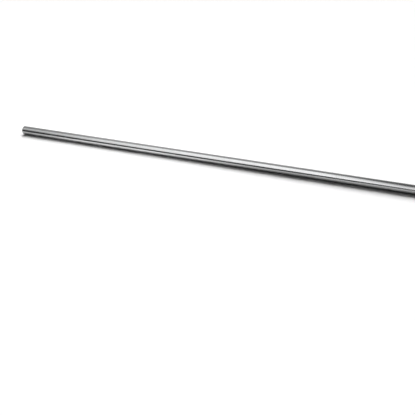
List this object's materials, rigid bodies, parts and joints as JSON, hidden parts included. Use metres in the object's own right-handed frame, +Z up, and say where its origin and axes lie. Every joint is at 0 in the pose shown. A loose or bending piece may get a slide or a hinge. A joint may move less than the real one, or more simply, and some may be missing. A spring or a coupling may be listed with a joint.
{
  "type": "fan shaft",
  "caption": "Plain round steel bar, ground and polished bright, with a chamfer on each end, that carries a fan or blower wheel in bearings.",
  "frame": {"origin": "on the shaft's axis at mid length", "axes": "+X along the shaft towards its right end, +Z up from the floor that it lies on"},
  "size_m": [0.9144, 0.019, 0.019],
  "materials": {
    "bright_steel": "bare steel, ground and polished mirror bright, with fine grinding marks round the bar"
  },
  "bodies": {
    "root": {"shaft": "bright_steel"}
  },
  "joints": []
}
